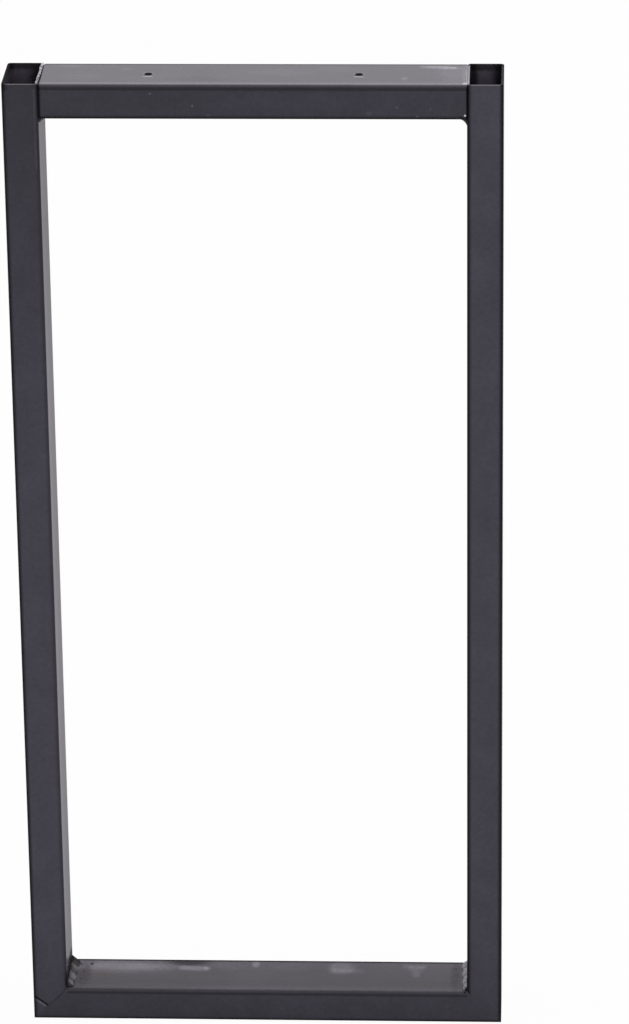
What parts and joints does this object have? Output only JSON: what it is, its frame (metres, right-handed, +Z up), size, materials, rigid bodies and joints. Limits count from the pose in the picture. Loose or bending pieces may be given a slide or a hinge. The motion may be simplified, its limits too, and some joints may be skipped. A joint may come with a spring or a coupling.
{
  "type": "table leg frame",
  "caption": "Welded rectangular leg frame of box tube for a table, with open post tops, mitred lower corners and screw holes in the top rail.",
  "frame": {"origin": "middle of the underside, half way along the bottom rail and half way through the tube's depth", "axes": "+Z up from the floor along the posts, X along the rails, Y through the depth of the tube with the front at -Y"},
  "size_m": [0.344, 0.05, 0.72],
  "materials": {
    "powder_coat": "fine matt powder coat",
    "coated_weld": "powder coat over weld bead"
  },
  "bodies": {
    "root": {"left_post": "powder_coat", "right_post": "powder_coat", "top_rail": "powder_coat", "bottom_rail": "powder_coat", "weld_bottom_left": "coated_weld", "weld_bottom_right": "coated_weld", "weld_top_left": "coated_weld", "weld_top_right": "coated_weld"}
  },
  "joints": []
}
